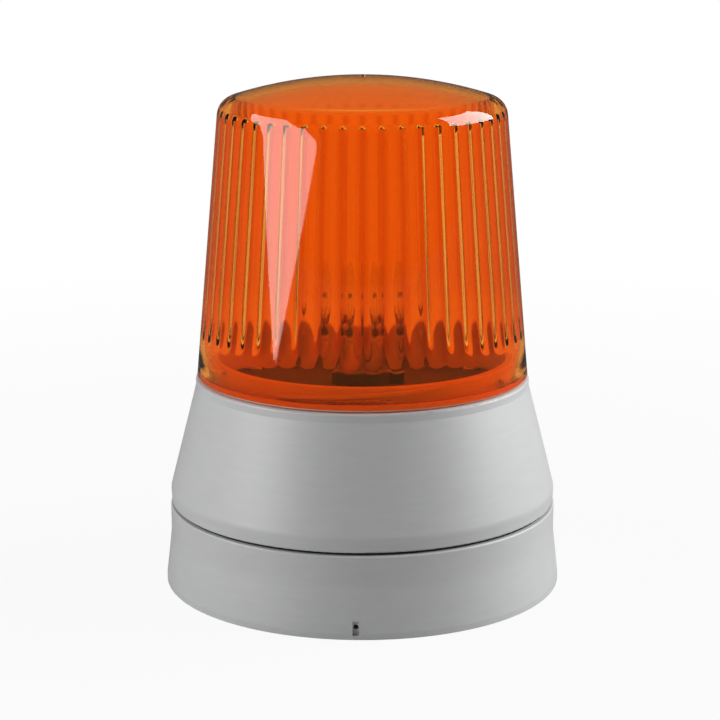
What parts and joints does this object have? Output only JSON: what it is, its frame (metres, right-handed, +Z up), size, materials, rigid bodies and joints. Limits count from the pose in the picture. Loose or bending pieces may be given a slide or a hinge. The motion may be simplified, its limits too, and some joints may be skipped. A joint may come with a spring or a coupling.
{
  "type": "signal beacon",
  "caption": "Round grey signal beacon with a screw-on amber fluted lens, a bayonet bulb inside and a flat base that fixes to a surface.",
  "frame": {"origin": "centre of the base's underside, where it meets the surface it is fixed to", "axes": "+Z up along the axis of the beacon, from base to crown; -Y is the front, where the drain mark is"},
  "size_m": [0.13, 0.13, 0.1653],
  "materials": {
    "housing_grey": "satin moulded",
    "lens_amber": "clear gloss",
    "seal_pale": "matte",
    "seal_black": "matte",
    "deck_black": "moulded",
    "holder_black": "phenolic moulding",
    "nickel": "plated",
    "brass": "bright",
    "zinc_steel": "zinc plated",
    "solder": "dull",
    "glass_clear": "clear",
    "glass_black": "fused glass",
    "tungsten": "drawn wire",
    "board_green": "lacquered",
    "relay_blue": "moulded",
    "component_black": "moulded epoxy",
    "sleeve_blue": "shrink sleeve",
    "resistor_buff": "lacquered",
    "header_green": "moulded",
    "terminal_white": "moulded",
    "lead_red": "smooth insulation",
    "lead_grey": "smooth insulation"
  },
  "bodies": {
    "root": {"mounting_base": "housing_grey", "base_gasket": "seal_black", "cable_grommet": "seal_black", "terminal_block": "terminal_white", "terminal_clamp_screws": "zinc_steel", "terminal_fixing_screw": "zinc_steel", "housing": "housing_grey", "housing_seal": "seal_black", "housing_screws": "zinc_steel", "deck_plate": "deck_black", "deck_screws": "zinc_steel", "bulb_holder_body": "holder_black", "bulb_holder_shell": "nickel", "bulb_holder_nut": "holder_black", "contact_springs": "nickel", "contact_tags": "brass", "flasher_board": "board_green", "board_screws": "zinc_steel", "relay": "relay_blue", "bridge_rectifier": "component_black", "timing_chip": "component_black", "smoothing_capacitor": "sleeve_blue", "board_resistors": "resistor_buff", "fuse_tube": "glass_clear", "fuse_caps": "nickel", "fuse_clips": "brass", "supply_header": "header_green", "supply_leads": "lead_red", "lamp_leads": "lead_grey"},
    "lens_seal": {"lens_seal": "seal_pale"},
    "lens": {"lens": "lens_amber"},
    "bulb": {"bulb_cap": "nickel", "bulb_insulator": "glass_black", "bulb_contacts": "solder", "bulb_glass": "glass_clear", "bulb_mount": "glass_clear", "filament_supports": "nickel", "filament": "tungsten"},
    "contacts": {"contact_pins": "brass"}
  },
  "joints": [
    {"name": "lens_rise", "type": "slide", "parent": "root", "child": "lens_seal", "axis": [0, 0, 1], "range_m": [0, 0.0081]},
    {"name": "lens_turn", "type": "hinge", "parent": "lens_seal", "child": "lens", "pos_m": [0, 0, 0.07], "axis": [0, 0, 1], "range_deg": [0, 180]},
    {"name": "bulb_press", "type": "slide", "parent": "root", "child": "bulb", "axis": [0, 0, -1], "range_m": [0, 0.0016], "stiffness_N_per_m": 1200, "springref_m": -0.002},
    {"name": "contact_press", "type": "slide", "parent": "root", "child": "contacts", "axis": [0, 0, -1], "range_m": [0, 0.0016], "deforming": ["contact_springs"]}
  ],
  "couplings": [
    {"joint": "lens_rise", "follows": "lens_turn", "m_per_rad": 0.0025465},
    {"joint": "contact_press", "follows": "bulb_press", "ratio": 1}
  ]
}
